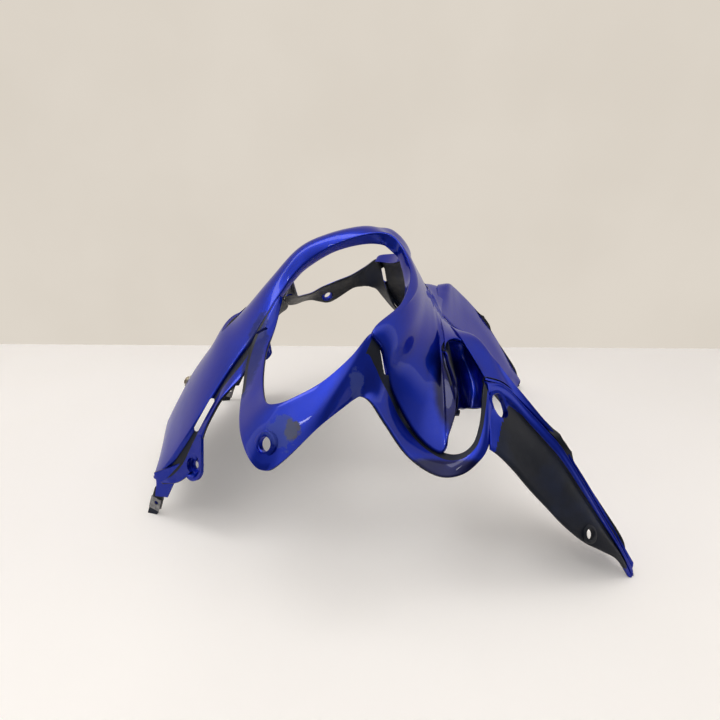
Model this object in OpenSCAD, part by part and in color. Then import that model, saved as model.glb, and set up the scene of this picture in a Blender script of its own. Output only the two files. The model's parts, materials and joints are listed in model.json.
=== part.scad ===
/* [Body] */
// Wall of the moulding
wall = 2.6; // [2.2:0.1:3.2]
// Height of the lamp openings' peak over the floor
peak_h = 241; // [230:1:252]
// Drop from the painted skin to the recessed flange
step_drop = 5; // [4:0.5:6.5]

/* [Chin] */
// Distance from the peak to the chin's lower corners
chin_reach = 198; // [190:1:205]
// Half the width of the chin at its widest
chin_half = 128; // [122:1:132]
// Forward bulge of the chin's middle over its corners
chin_bulge = 27; // [20:1:34]
// Length of the air intake above the chin
intake_l = 25; // [20:1:28]
// Width of the air intake at its lower lip
intake_w = 76; // [64:1:80]
// Depth of the air intake
intake_deep = 9; // [6:0.5:12]

/* [Spine] */
// Half the width of the spine between the lamp openings
spine_half = 18; // [15:1:22]
// Depth of the rim that turns down round a lamp opening
rim_depth = 12; // [9:1:15]

/* [Lamp brace] */
// Distance from the middle to the brace's outer hole
brace_half = 208; // [202:1:212]
// Height of the brace's outer hole
brace_h = 124; // [120:1:128]

/* [Ear] */
// Distance from the peak to the ear tips
ear_reach = 197; // [190:1:205]
// Distance from the middle to an ear tip
ear_half = 180; // [174:1:184]
// Height of the rib beside the ear's groove
rib_h = 4; // [3:0.5:5]

/* [Fixings] */
// Bore for the screw in the chin
screw_bore = 5.6; // [5.2:0.1:6.4]
// Bore of the brace hole
brace_bore = 10; // [8:0.5:11]
// Bore of the lug beside the chin
lug_bore = 7; // [6:0.5:8]
// Bore of the hole near the ear tip
tip_bore = 8; // [6:0.5:9]
// Across the oval hole at the ear's root
oval_w = 11; // [9:0.5:13]
// Along the oval hole at the ear's root
oval_l = 19; // [16:0.5:22]

/* [Hidden] */
$fn = 20;
// Reach of a cut to each side of the surface that it goes through
cut_reach = 20;

function knot(p, i) = i < 0 ? 2 * p[0] - p[1]
    : i > len(p) - 1 ? 2 * p[len(p) - 1] - p[len(p) - 2] : p[i];
function through(a, b, c, d, t) =
    0.5 * (2 * b + (c - a) * t + (2 * a - 5 * b + 4 * c - d) * t * t
        + (3 * b - a - 3 * c + d) * t * t * t);
function curve_at(p, s) =
    let(i = min(floor(s), len(p) - 2))
    through(knot(p, i - 1), knot(p, i), knot(p, i + 1), knot(p, i + 2), s - i);
function curve(p, n) = [for (k = [0:n]) curve_at(p, k * (len(p) - 1) / n)];
function bezier(a, b, c, d, t) =
    pow(1 - t, 3) * a + 3 * t * pow(1 - t, 2) * b + 3 * t * t * (1 - t) * c + pow(t, 3) * d;
function unit(v) = norm(v) < 0.000001 ? [0, 0, 1] : v / norm(v);
function flat(a) = [for (b = a) for (c = b) c];

// Outward direction of a grid of points at one of its knots
function facing(g, i, j) =
    let(n = len(g) - 1, m = len(g[0]) - 1)
    unit(cross(g[min(i + 1, n)][j] - g[max(i - 1, 0)][j],
        g[i][min(j + 1, m)] - g[i][max(j - 1, 0)]));

// Closed sheet of thickness t under a grid of points
module sheet(g, t) {
    n = len(g) - 1;
    m = len(g[0]) - 1;
    inner = [for (i = [0:n]) [for (j = [0:m]) g[i][j] - t * facing(g, i, j)]];
    k = (n + 1) * (m + 1);
    function at(i, j) = i * (m + 1) + j;
    top = [for (i = [0:n - 1]) for (j = [0:m - 1])
        each [[at(i, j), at(i, j + 1), at(i + 1, j + 1)],
            [at(i, j), at(i + 1, j + 1), at(i + 1, j)]]];
    edge = concat([for (j = [0:m - 1]) at(0, j)], [for (i = [0:n - 1]) at(i, m)],
        [for (j = [m:-1:1]) at(n, j)], [for (i = [n:-1:1]) at(i, 0)]);
    rim = [for (e = [0:len(edge) - 1])
        let(a = edge[e], b = edge[(e + 1) % len(edge)])
        each [[a, a + k, b + k], [a, b + k, b]]];
    polyhedron(concat(flat(g), flat(inner)),
        concat(top, [for (f = top) [f[0] + k, f[2] + k, f[1] + k]], rim));
}

// Rails of one half are [x, half width, height]; the near side lies at negative Y
function near(p) = [p[0], -p[1], p[2]];

// Sheet lofted through rails that run from the outer edge to the inner one
module loft(rails, n, m, t) {
    lines = [for (r = rails) curve(r, n)];
    sheet([for (i = [0:n]) [for (p = curve([for (l = lines) l[i]], m)) near(p)]], t);
}

module both_sides() {
    children();
    mirror([0, 1, 0]) children();
}

// Turn of a frame whose Z lies along an axis of the near half
function aim(axis) = let(a = near(unit(axis))) [0, acos(a[2]), atan2(a[1], a[0])];

// Stands the children on a point of the near half, with Z along its axis
module aimed(p, axis) {
    translate(near(p)) rotate(aim(axis)) children();
}

// Straight bore of radius r, through a point of the near half along an axis
module bore(p, axis, r) {
    aimed(p, axis) translate([0, 0, -cut_reach]) cylinder(r = r, h = 2 * cut_reach);
}

// Outline of a hole of length l and width w
module long_outline(l, w) {
    reach = (l - w) / 2;
    polygon([for (k = [0:13])
        let(side = k < 7 ? 1 : -1, turn = 30 * (k < 7 ? k : k - 1) - 90)
        [side * reach + w / 2 * cos(turn), w / 2 * sin(turn)]]);
}

// Long hole of width w from a to b of the near half, cut along an axis
module long_hole(a, b, axis, w, h) {
    d = near(b) - near(a);
    t = aim(axis);
    run = d * [cos(t[1]) * cos(t[2]), cos(t[1]) * sin(t[2]), -sin(t[1])];
    side = d * [-sin(t[2]), cos(t[2]), 0];
    aimed((a + b) / 2, axis) rotate([0, 0, atan2(side, run)]) translate([0, 0, -h])
        linear_extrude(height = 2 * h) long_outline(norm([run, side]) + w, w);
}

corner_h = 38;
corner_x = -chin_reach;
front_x = corner_x - chin_bulge;
// Middle of the skin from the chin's lower edge, over the peak, to the screen's edge
crown = [
    [front_x, 0, corner_h + 4],
    [front_x + 13, 0, 63],
    [front_x + 34, 0, 97],
    [-168, 0, 127],
    [-155, 0, 147],
    [-138, 0, 158],
    [-109, 0, 190],
    [-80, 0, peak_h - 21],
    [-50, 0, peak_h - 7],
    [-16, 0, peak_h],
    [5, 0, peak_h - 5],
    [14, 0, peak_h - 13],
    [21, 0, peak_h - 22],
    [27, 0, peak_h - 31],
    [33, 0, peak_h - 39],
    [38, 0, peak_h - 47],
    [42, 0, peak_h - 54],
    [45, 0, peak_h - 60],
    [48, 0, peak_h - 65],
    [50, 0, peak_h - 69],
    [52, 0, peak_h - 72],
    [54, 0, peak_h - 75],
    [56, 0, peak_h - 78],
    [58, 0, peak_h - 81],
    [60, 0, peak_h - 84],
    [62, 0, peak_h - 87]
];
// Free edge of the skin: chin, spine, lamp opening, cheek, scoop and ear root
lip = [
    [corner_x, chin_half - 6, corner_h],
    [-181, chin_half, 56],
    [-155, chin_half, 92],
    [-137, 108, 120],
    [-124, 93, 139],
    [-111, 76, 156],
    [-94, 36, 182],
    [-76, spine_half + 3, peak_h - 37],
    [-50, spine_half, peak_h - 19],
    [-16, spine_half, peak_h - 6],
    [6, spine_half + 2, peak_h - 4],
    [18, 34, peak_h - 14],
    [25, 66, 211],
    [16, 114, 197],
    [-5, 152, 187],
    [3, 156, 172],
    [10, 160, 143],
    [27, 173, 115],
    [44, 181, 104],
    [50, 173, 114],
    [56, 160, 127],
    [56, 146, 140],
    [51, 124, 156],
    [55, 104, 163],
    [68, 100, 161],
    [80, 138, 149]
];
// Handle that sets how full each section of the skin is
shoulder = [
    [front_x + 19, 66, corner_h + 7],
    [-199, 75, 67],
    [-179, 78, 99],
    [-163, 68, 128],
    [-149, 58, 147],
    [-134, 48, 162],
    [-106, 24, 192],
    [-79, 13, peak_h - 22],
    [-50, 11, peak_h - 7],
    [-16, 11, peak_h - 1],
    [5, 12, peak_h - 4],
    [18, 22, peak_h - 9],
    [30, 40, 221],
    [34, 76, 206],
    [26, 112, 202],
    [30, 124, 190],
    [36, 128, 174],
    [42, 132, 162],
    [48, 134, 154],
    [50, 128, 156],
    [52, 120, 160],
    [52, 112, 164],
    [52, 96, 170],
    [56, 84, 168],
    [66, 78, 164],
    [78, 92, 164]
];
drop = [1, 1, 1, 1, 1, 1, 1.4, 2, 2, 2, 2, 2, 2, 2, 1.4, 1, 1, 1, 1, 0.6, 0.5, 0.5, 0.5, 0.5, 0.5, 0.6];
steps = 2;
across = 6;
spans = len(crown) - 1;
count = spans * steps;
crown_line = curve(crown, count);
lip_line = curve(lip, count);
shoulder_line = curve(shoulder, count);
drop_line = curve(drop, count);
function along(i) = unit(lip_line[min(i + 1, count)] - lip_line[max(i - 1, 0)]);
function outward(i) = unit(lip_line[i] - shoulder_line[i]);
// Direction from the skin's edge into the moulding
function inward(i) = -unit(cross(along(i), outward(i)));
function depth(i) = drop_line[i] <= 1 ? drop_line[i] * step_drop
    : step_drop + (drop_line[i] - 1) * (rim_depth - step_drop);
function foot(i) = lip_line[i] + depth(i) * inward(i);
skin_half = [for (i = [0:count])
    let(c = crown_line[i], s = shoulder_line[i], e = lip_line[i])
    concat([for (j = [0:across]) bezier(c, [c[0], 0.45 * s[1], c[2]], s, e, j / across)],
        [foot(i)])];
skin_grid = [for (r = skin_half)
    concat([for (j = [0:across + 1]) near(r[across + 1 - j])],
        [for (j = [1:across + 1]) r[j]])];

module skin() {
    sheet(skin_grid, wall);
}

// Flange beside the chin, turned back from the foot of the step
strip_out = [[corner_x + 10, chin_half, 38], [-170, chin_half + 8, 44],
    [-154, chin_half + 11, 60], [-147, chin_half + 9, 80], [-142, chin_half + 6, 95],
    [-136, chin_half + 3, 107], [-130, chin_half, 117], [-123, chin_half - 8, 124],
    [-116, chin_half - 17, 130], [-112, chin_half - 25, 137]];
module chin_strip() {
    last = 5 * steps;
    inner = [for (i = [0:last]) foot(i) - wall * unit(outward(i) + inward(i))];
    outer = curve(strip_out, last);
    sheet([for (i = [0:last]) [near(outer[i]), near((outer[i] + inner[i]) / 2), near(inner[i])]],
        wall);
}

brace_at = [-75, brace_half, brace_h];
brace_axis = [-0.5, 0.77, 0.4];
// Recessed flange: from the spine down the leg, round the brace's corner, up to the cheek
// and round the scoop to the ear
flange_in = [[-91, 32, 180], [-93, 62, 161], [-96, 90, 151], [-94, 116, 146], [-88, 150, 141],
    [-80, brace_half - 30, brace_h + 17], [-70, brace_half - 21, brace_h + 20],
    [-58, brace_half - 21, brace_h + 25], [-39, 180, 158], [-21, 168, 171],
    [-5, 151, 184], [2, 154, 170], [6, 157, 156], [10, 160, 142], [17, 168, 124],
    [29, 178, 110], [45, 185, 101], [57, 186, 105], [66, 182, 113], [71, 174, 124],
    [74, 163, 137], [77, 150, 147]];
flange_out = [[-97, 36, 180], [-109, 72, 158], [-113, 98, 140], [-109, 130, 131],
    [-103, 166, 126], [-96, brace_half - 16, brace_h - 3], [-86, brace_half + 3, brace_h - 10],
    [-76, brace_half + 11, brace_h - 13], [-64, brace_half + 11, brace_h - 8], [-40, 203, 134],
    [-24, 186, 141], [-17, 177, 143], [-12, 174, 144], [-5, 177, 141],
    [5, 183, 128], [21, 192, 108], [41, 197, 96], [58, 197, 97], [73, 191, 106],
    [80, 186, 111], [87, 176, 118], [92, 164, 127]];
module flange() {
    middle = [for (i = [0:len(flange_in) - 1]) (flange_in[i] + flange_out[i]) / 2 + [0, 1.5, 1]];
    loft([flange_out, middle, flange_in], 32, 2, wall);
}

// Duct that dives from the hood above the scoop to its free edge inside
module pocket() {
    top = [[56.3, 156.9, 125.9], [56, 143, 138.9], [51, 122.2, 154.2], [54, 102.2, 160.7],
        [68.2, 97, 158.9], [77, 109, 156.4], [81.8, 136.1, 148.4]];
    deep = [[58.1, 152, 122], [59.6, 136.1, 130.1], [62, 111.8, 138.1], [66.1, 98.1, 138],
        [74.8, 96.2, 133.9], [80.9, 108.4, 129.9], [81.8, 128.3, 127.7]];
    free = [[57, 156.3, 123], [60, 148.1, 121.9], [63.1, 140.1, 119.8], [66.9, 132.4, 115.7],
        [71.7, 127.1, 114.4], [76, 128.6, 115], [80, 137.2, 120]];
    loft([free, deep, top], 10, 3, wall);
}

ear_lip = [[80, 146, 147], [90, 143, 145], [98, 144, 139], [110, 150, 127], [122, 155, 115],
    [135, 160, 102], [152, 167, 77], [168, 172, 52], [185, 177, 26], [ear_reach, ear_half, 7]];
ear_ridge = [[72, 98, 163], [79, 103, 164], [87, 116, 157], [97, 133, 145], [110, 145, 130],
    [126, 154, 111], [146, 162, 85], [165, 169, 57], [182, 175, 30], [ear_reach, ear_half - 2, 9]];
sheet_in = [[58, 14, 157], [68, 36, 151], [79, 56, 141], [92, 72, 128], [106, 86, 108],
    [121, 100, 88], [138, 112, 66], [155, 122, 45], [172, 136, 24], [187, 158, 5]];
panel_up = [[78, 150, 142], [88, 146, 140], [97, 147, 134], [109, 152, 122], [121, 157, 110],
    [134, 162, 96], [151, 169, 71], [167, 174, 46], [183, 179, 21], [ear_reach - 1, ear_half + 3, 1]];
panel_low = [[78, 186, 111], [86, 188, 106], [96, 189, 96], [108, 191, 82], [121, 192, 68],
    [135, 193, 53], [152, 192, 38], [167, 190, 29], [182, 187, 18], [ear_reach - 2, ear_half + 4, -3]];
ear_axis = [0.497, 0.715, 0.489];
function blend(a, b, t, off) =
    [for (i = [0:9]) a[i] * (1 - t) + b[i] * t + off * (i > 8 ? 0.2 : 1) * ear_axis];
// Ear from the panel's lower edge, over the rib, the groove and the ridge, to the inner edge
module ear() {
    bulge = [for (p = blend(ear_ridge, sheet_in, 0.38, 0)) p + [0, 0, 3]];
    rails = [panel_low, blend(panel_low, panel_up, 0.5, 2), panel_up,
        blend(panel_up, ear_lip, 0.35, rib_h), blend(panel_up, ear_lip, 0.7, -1.5), ear_lip,
        ear_ridge, bulge, blend(ear_ridge, sheet_in, 0.7, 2), sheet_in];
    loft(rails, 12, 9, wall);
}

// Point of the ear's panel: place along its rails, share of the way up, lift off them
function on_panel(along, share, lift) =
    curve_at(panel_low, along) * (1 - share) + curve_at(panel_up, along) * share + lift * ear_axis;
oval_at = on_panel(0.95, 0.72, 0.6);
tip_at = on_panel(6.25, 0.22, 1.4);
lug_at = [-155, chin_half + 10, 62];
lug_axis = [-0.57, 0.77, 0.29];
lug_r = lug_bore / 2 + 9.5;
// Depth of the dished seat sunk in the lug, and of the cup behind it
dish_deep = 4;
cup_deep = 6.5;
module lug() {
    aimed(lug_at, lug_axis) {
        translate([0, 0, -wall]) linear_extrude(height = wall) {
            circle(r = lug_r);
            translate([-25, 4]) circle(r = 3);
            polygon([[-1, -lug_r], [-25.5, 1], [-24.5, 7], [1, lug_r]]);
        }
        translate([0, 0, -cup_deep])
            cylinder(r1 = lug_bore / 2 + 4, r2 = lug_bore / 2 + 9, h = cup_deep);
    }
}

module lug_dish() {
    aimed(lug_at, lug_axis) translate([0, 0, -dish_deep])
        cylinder(r1 = lug_bore / 2 + 2, r2 = lug_bore / 2 + 7.5, h = dish_deep + 0.1);
}

tab_axis = [-0.24, 0.97, 0.03];
tab_at = [corner_x + 1, chin_half - 5.5, 15];
// Tongue of the foot: length, width and where it starts; its hole clears the clip's
tongue_l = 34;
tongue_w = 10;
tongue_from = -13;
clip_bore = 4;
clip_bore_at = 2;
tab_bore = clip_bore + 1;
module on_tab() {
    aimed(tab_at, tab_axis) rotate([0, 0, -20]) children();
}

// Foot at the chin's corner, with the flat tongue that carries a clip nut
module foot_tab() {
    front = [[corner_x + 4, chin_half - 1, 46], [corner_x + 4, chin_half - 2.5, 36],
        [corner_x, chin_half - 4.5, 20]];
    back = [[-166, chin_half + 3, 60], [corner_x + 23, chin_half + 1, 41],
        [corner_x + 12, chin_half - 3, 20]];
    loft([front, back], 6, 2, wall);
    on_tab() translate([tongue_from, -tongue_w / 2, -wall]) cube([tongue_l, tongue_w, wall]);
}

intake_at = [-146, 0, 149];
intake_axis = [-0.743, 0, 0.669];
intake_round = 4;
// Rounded triangle of the intake, apex towards the spine
module intake_shape(grow, low, high) {
    aimed(intake_at, intake_axis) translate([0, 0, low])
        linear_extrude(height = high - low) offset(r = intake_round + grow, $fn = 12)
        polygon([[6 - intake_l, 0], [3, intake_w / 2 - 5], [3, 5 - intake_w / 2]]);
}

module oval_hole(grow, low, high) {
    aimed(oval_at, ear_axis) translate([0, 0, low])
        linear_extrude(height = high - low) long_outline(oval_l + 2 * grow, oval_w + 2 * grow);
}

screw_at = [-202.5, 0, 78];
screw_axis = [-0.855, 0, 0.518];
// Radii of the raised seats round the holes, and their lap over the shell around them
screw_seat = 8;
brace_seat = brace_bore / 2 + 4;
tip_seat = tip_bore / 2 + 3;
seat_lap = 1;
seat_h = 1.2;
washer_t = 1.2;
washer_r = 6.5;

// Flat seat of radius r round a hole, from depth low to height high
module seat(p, axis, r, low, high) {
    aimed(p, axis) translate([0, 0, low]) cylinder(r = r, h = high - low);
}

module shells() {
    skin();
    intake_shape(wall, -intake_deep - wall, -1);
    both_sides() {
        chin_strip();
        flange();
        pocket();
        ear();
        foot_tab();
    }
}

module moulding() {
    difference() {
        shells();
        seat(screw_at, screw_axis, screw_seat - seat_lap, -12, 12);
        both_sides() {
            seat(brace_at, brace_axis, brace_seat - seat_lap, -12, 12);
            seat(lug_at, lug_axis, lug_bore / 2 + 1.5, -12, 12);
            seat(tip_at, ear_axis, tip_seat - seat_lap, -9, 9);
        }
    }
    seat(screw_at, screw_axis, screw_seat, -wall, seat_h);
    both_sides() {
        seat(brace_at, brace_axis, brace_seat, -wall, 1);
        seat(tip_at, ear_axis, tip_seat, -wall - 0.5, 1);
        lug();
        oval_hole(2.2, -wall - 0.5, 1.2);
    }
}

centre_x = (front_x + ear_reach) / 2;
floor_half = 300;
module cowl() {
    color("mediumblue") translate([-centre_x, 0, 0]) difference() {
        resize([0, 0, 0]) difference() {
            moulding();
            intake_shape(0, -intake_deep, 30);
            translate([-floor_half, -floor_half, -cut_reach])
                cube([2 * floor_half, 2 * floor_half, cut_reach]);
            both_sides() {
                lug_dish();
                oval_hole(0, -12, 12);
                long_hole([-140.1, 116.1, 111.1], [-152.1, 124, 89.1], [0.2, 0.85, 0.45], 4.8, 10);
                long_hole([2.2, 155, 171.8], [5.1, 158, 156.2], [0, 0.935, 0.355], 4, 12);
                long_hole([-107.8, 73.3, 158], [-103.8, 71.1, 164.1], [-0.5, 0.4, 0.75], 2.8, 8);
            }
        }
        bore(screw_at, screw_axis, screw_bore / 2);
        both_sides() {
            bore(brace_at, brace_axis, brace_bore / 2);
            bore(lug_at, lug_axis, lug_bore / 2);
            bore(tip_at, ear_axis, tip_bore / 2);
            on_tab() translate([clip_bore_at, 0, -cut_reach])
                cylinder(r = tab_bore / 2, h = 2 * cut_reach);
        }
    }
}

module chin_washer() {
    color("lightgray") translate([-centre_x, 0, 0]) aimed(screw_at, screw_axis)
        translate([0, 0, seat_h]) difference() {
            cylinder(r = washer_r, h = washer_t);
            translate([0, 0, -1]) cylinder(r = screw_bore / 2, h = washer_t + 2);
        }
}

head_r = 4.6;
head_h = 3;
shank_l = 14;
recess_l = 4.8;
recess_w = 1;
recess_from = 1.4;
// Round head with a cross recess, on a plain shank
module chin_screw() {
    color("silver") translate([-centre_x, 0, 0]) aimed(screw_at, screw_axis)
        translate([0, 0, seat_h + washer_t]) difference() {
            union() {
                cylinder(r1 = head_r, r2 = head_r - 1.2, h = head_h);
                translate([0, 0, -shank_l]) cylinder(r = screw_bore / 2 - 0.3, h = shank_l);
            }
            for (turn = [0, 90]) rotate([0, 0, turn])
                translate([-recess_l / 2, -recess_w / 2, recess_from]) cube([recess_l, recess_w, head_h]);
        }
}

// Spring clip folded over the tongue's front edge
clip_t = 0.9;
clip_l = 12.8;
clip_from = -2.8;
module clip() {
    on_tab() difference() {
        translate([clip_from, -tongue_w / 2 - clip_t, -wall - clip_t])
            cube([clip_l, tongue_w, wall + 2 * clip_t]);
        translate([clip_from - 1, -tongue_w / 2, -wall]) cube([clip_l + 2, tongue_w + 3, wall]);
        translate([clip_bore_at, 0, -cut_reach]) cylinder(r = clip_bore / 2, h = 2 * cut_reach);
    }
}

module tab_clips() {
    color("gray") translate([-centre_x, 0, 0]) both_sides() clip();
}

cowl();
chin_screw();
chin_washer();
tab_clips();
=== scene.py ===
# %% [markdown]
# A motorcycle's nose cowl, lying open side down with its nose up.
# The real part is one thin injection moulding: candy blue lacquer outside, bare
# black plastic inside. Here each stretch of it is a sheet lofted through a few
# rails, given a wall and a rounded edge, cut, and joined to one piece.

# %% Load the frame
import json
import math

import bmesh
import bpy
import numpy as np
from mathutils import Matrix, Vector

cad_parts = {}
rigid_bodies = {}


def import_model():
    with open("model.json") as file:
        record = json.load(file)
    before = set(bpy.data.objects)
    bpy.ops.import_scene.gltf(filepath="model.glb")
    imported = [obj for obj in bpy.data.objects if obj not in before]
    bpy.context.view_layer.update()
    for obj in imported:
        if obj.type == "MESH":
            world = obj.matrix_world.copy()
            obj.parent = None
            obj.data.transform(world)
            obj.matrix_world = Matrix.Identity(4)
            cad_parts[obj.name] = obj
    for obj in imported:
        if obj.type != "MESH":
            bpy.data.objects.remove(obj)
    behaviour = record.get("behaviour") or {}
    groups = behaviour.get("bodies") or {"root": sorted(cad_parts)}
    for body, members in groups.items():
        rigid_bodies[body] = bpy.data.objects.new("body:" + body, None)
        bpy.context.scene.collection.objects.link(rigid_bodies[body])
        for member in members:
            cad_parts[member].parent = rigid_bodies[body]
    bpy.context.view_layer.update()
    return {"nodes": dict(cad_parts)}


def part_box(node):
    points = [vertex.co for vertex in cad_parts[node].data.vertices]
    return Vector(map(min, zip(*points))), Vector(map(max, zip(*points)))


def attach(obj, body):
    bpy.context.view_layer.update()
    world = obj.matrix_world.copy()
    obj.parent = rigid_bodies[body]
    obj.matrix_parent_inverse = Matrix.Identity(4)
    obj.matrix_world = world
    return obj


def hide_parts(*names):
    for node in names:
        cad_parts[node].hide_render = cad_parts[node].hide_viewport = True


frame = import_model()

# %% [markdown]
# The rails are written as [x, half width, height] in millimetres, with x counted
# from the peak of the nose. The frame puts the middle of the part's length at
# x = 0, so one shift and one scale carry a rail into the scene.

# %% Sizes of the moulding
MM = 0.001
WALL = 2.6
PEAK = 241
STEP_DROP = 5
CHIN_REACH = 198
CHIN_HALF = 128
CHIN_BULGE = 27
SPINE_HALF = 18
RIM_DEPTH = 12
BRACE_HALF = 208
BRACE_H = 124
EAR_REACH = 197
EAR_HALF = 180
RIB_H = 3.4
EDGE_ROUND = 0.8
LIP_ROUND = 2.2
corner_h = 38
corner_x = -CHIN_REACH
front_x = corner_x - CHIN_BULGE
centre_x = (front_x + EAR_REACH) / 2


def near(points):
    """Rail points put on the near half, which lies at negative Y."""
    return np.array(points, float) * [1, -1, 1]


def to_scene(points):
    """Millimetres from the peak turned into metres in the frame."""
    return (np.asarray(points, float) - [centre_x, 0, 0]) * MM


print("middle of the length, mm from the peak:", centre_x)

# %% [markdown]
# A rail is a smooth line through its points. This is the Catmull-Rom rule: each
# stretch leaves a point in the direction from the point before to the one after,
# so the line passes through every point and never kinks.

# %% Smooth lines and lofts
def curve_at(points, places):
    """Points of the smooth line at some places, where 1 step is one of its points."""
    p = np.array(points, float)
    last = len(p) - 2
    p = np.vstack([2 * p[0] - p[1], p, 2 * p[-1] - p[-2]])
    s = np.array(places, float)
    i = np.minimum(s.astype(int), last)
    t = (s - i)[:, None]
    a, b, c, d = p[i], p[i + 1], p[i + 2], p[i + 3]
    return 0.5 * (2 * b + (c - a) * t + (2 * a - 5 * b + 4 * c - d) * t ** 2
                  + (3 * b - a - 3 * c + d) * t ** 3)


def curve(points, count):
    """The smooth line in count even steps."""
    return curve_at(points, np.linspace(0, len(points) - 1, count + 1))


def loft(rails, along, across):
    """A grid of points lofted through rails that run side by side."""
    lines = np.array([curve(r, along) for r in rails])
    grid = curve(lines.reshape(len(rails), -1), across)
    return near(grid.reshape(across + 1, along + 1, 3).transpose(1, 0, 2))


def unit(v):
    """Vectors of the same direction and length 1."""
    return v / np.maximum(np.linalg.norm(v, axis=-1, keepdims=True), 1e-9)


def facing(grid):
    """Outward direction at each point of a grid."""
    along = np.gradient(grid, axis=0)
    across = np.gradient(grid, axis=1)
    return unit(np.cross(along, across))


# %% [markdown]
# A moulding has a constant wall and an edge that is never sharp. Solidify and Bevel
# modifiers could give both. Here the sheet is written out ring by ring instead, so
# that each ring of the rolled rim can be painted or bare: the spray reaches round
# the first rings, and the back stays plain plastic. The rim catches the thin bright
# lines along every edge in the photograph.

# %% Sheet with a wall and a rounded rim
PAINT, BARE = 0, 1
RIM_RINGS = 5
SPRAYED_RINGS = 2


def rim_loop(rows, columns):
    """Grid places round the outside, in order."""
    top = [(0, j) for j in range(columns)]
    right = [(i, columns - 1) for i in range(1, rows)]
    bottom = [(rows - 1, j) for j in range(columns - 2, -1, -1)]
    left = [(i, 0) for i in range(rows - 2, 0, -1)]
    return top + right + bottom + left


def rim_out(grid, loop):
    """Direction in the sheet that leads out over its rim."""
    rows, columns = grid.shape[:2]
    out = []
    for i, j in loop:
        d = np.zeros(3)
        if i in (0, rows - 1):
            d += unit(grid[i, j] - grid[1 if i == 0 else rows - 2, j])
        if j in (0, columns - 1):
            d += unit(grid[i, j] - grid[i, 1 if j == 0 else columns - 2])
        out.append(d)
    return unit(np.array(out))


def sheet(name, grid, wall=WALL, unpainted=None, painted_rings=SPRAYED_RINGS):
    """A closed sheet under a grid. unpainted(u, v) tells which outer faces are masked."""
    rows, columns = grid.shape[:2]
    normal = facing(grid)
    loop = rim_loop(rows, columns)
    at = tuple(np.array(loop).T)
    out, rim, rim_n = rim_out(grid, loop), grid[at].copy(), normal[at]
    outer, inner = grid.copy(), grid - wall * normal
    outer[at] -= EDGE_ROUND * out
    inner[at] -= EDGE_ROUND * out
    rings = []
    for angle, at_back in ((45, False), (90, False), (90, True), (45, True)):
        pull = EDGE_ROUND * (1 - math.sin(math.radians(angle)))
        sink = EDGE_ROUND * (1 - math.cos(math.radians(angle)))
        rings.append(rim - pull * out - (wall - sink if at_back else sink) * rim_n)
    count, size = rows * columns, len(loop)
    points = np.vstack([outer.reshape(-1, 3), inner.reshape(-1, 3)] + rings)
    flat = [i * columns + j for i, j in loop]
    lines = [flat] + [[2 * count + k * size + q for q in range(size)]
                      for k in range(len(rings))]
    lines.append([count + f for f in flat])
    faces, marks = [], []
    for i in range(rows - 1):
        for j in range(columns - 1):
            a, b = i * columns + j, (i + 1) * columns + j
            faces.append((a, b, b + 1, a + 1))
            u, v = (i + 0.5) / (rows - 1), (j + 0.5) / (columns - 1)
            marks.append(BARE if unpainted and unpainted(u, v) else PAINT)
            faces.append((count + a, count + a + 1, count + b + 1, count + b))
            marks.append(BARE)
    for ring, (upper, lower) in enumerate(zip(lines, lines[1:])):
        for q, (i, j) in enumerate(loop):
            r = (q + 1) % size
            faces.append((upper[q], upper[r], lower[r], lower[q]))
            u, v = i / (rows - 1), j / (columns - 1)
            masked = ring >= painted_rings or (unpainted and unpainted(u, v))
            marks.append(BARE if masked else PAINT)
    mesh = bpy.data.meshes.new(name)
    mesh.from_pydata(to_scene(points).tolist(), [], faces)
    mesh.polygons.foreach_set("material_index", marks)
    for finish in (paint, bare):
        mesh.materials.append(finish)
    return mesh

# %% [markdown]
# Several finishes share the same small effects: grain, dust, and local wear and
# shade. Each is one node group with its own inputs and outputs, built once here.
# Object coordinates are in metres, so a scale of 1000 means details of about a
# millimetre.

# %% Helpers for node groups
def new_group(name, inputs, outputs):
    """An empty shader group with float, vector or colour sockets."""
    tree = bpy.data.node_groups.new(name, "ShaderNodeTree")
    for label, kind, value in inputs:
        socket = tree.interface.new_socket(name=label, in_out="INPUT", socket_type=kind)
        socket.default_value = value
    for label, kind in outputs:
        tree.interface.new_socket(name=label, in_out="OUTPUT", socket_type=kind)
    return tree, tree.nodes.new("NodeGroupInput"), tree.nodes.new("NodeGroupOutput")


def add(tree, kind, **settings):
    """A node with its settings and the values or links of its inputs."""
    node = tree.nodes.new(kind)
    for key, value in settings.items():
        if key == "inputs":
            for socket, given in value.items():
                if hasattr(given, "is_output"):
                    tree.links.new(given, node.inputs[socket])
                else:
                    node.inputs[socket].default_value = given
        else:
            setattr(node, key, value)
    return node


def maths(tree, operation, a, b=0.0, clamp=False):
    """A Math node's result."""
    node = add(tree, "ShaderNodeMath", operation=operation, use_clamp=clamp,
               inputs={0: a, 1: b})
    return node.outputs[0]


def span(tree, value, low, high, to_low=0.0, to_high=1.0):
    """A value carried smoothly from one span to another."""
    node = add(tree, "ShaderNodeMapRange", interpolation_type="SMOOTHSTEP",
               inputs={"Value": value, "From Min": low, "From Max": high,
                       "To Min": to_low, "To Max": to_high})
    return node.outputs["Result"]


FLOAT, VECTOR = "NodeSocketFloat", "NodeSocketVector"

# %% [markdown]
# Grain is the fine unevenness of lacquer or moulded plastic. Two noises make it:
# the fine one serves as metal flake or as the height of a bump, and the coarse one
# shifts the tone and the roughness over a few centimetres.

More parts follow.
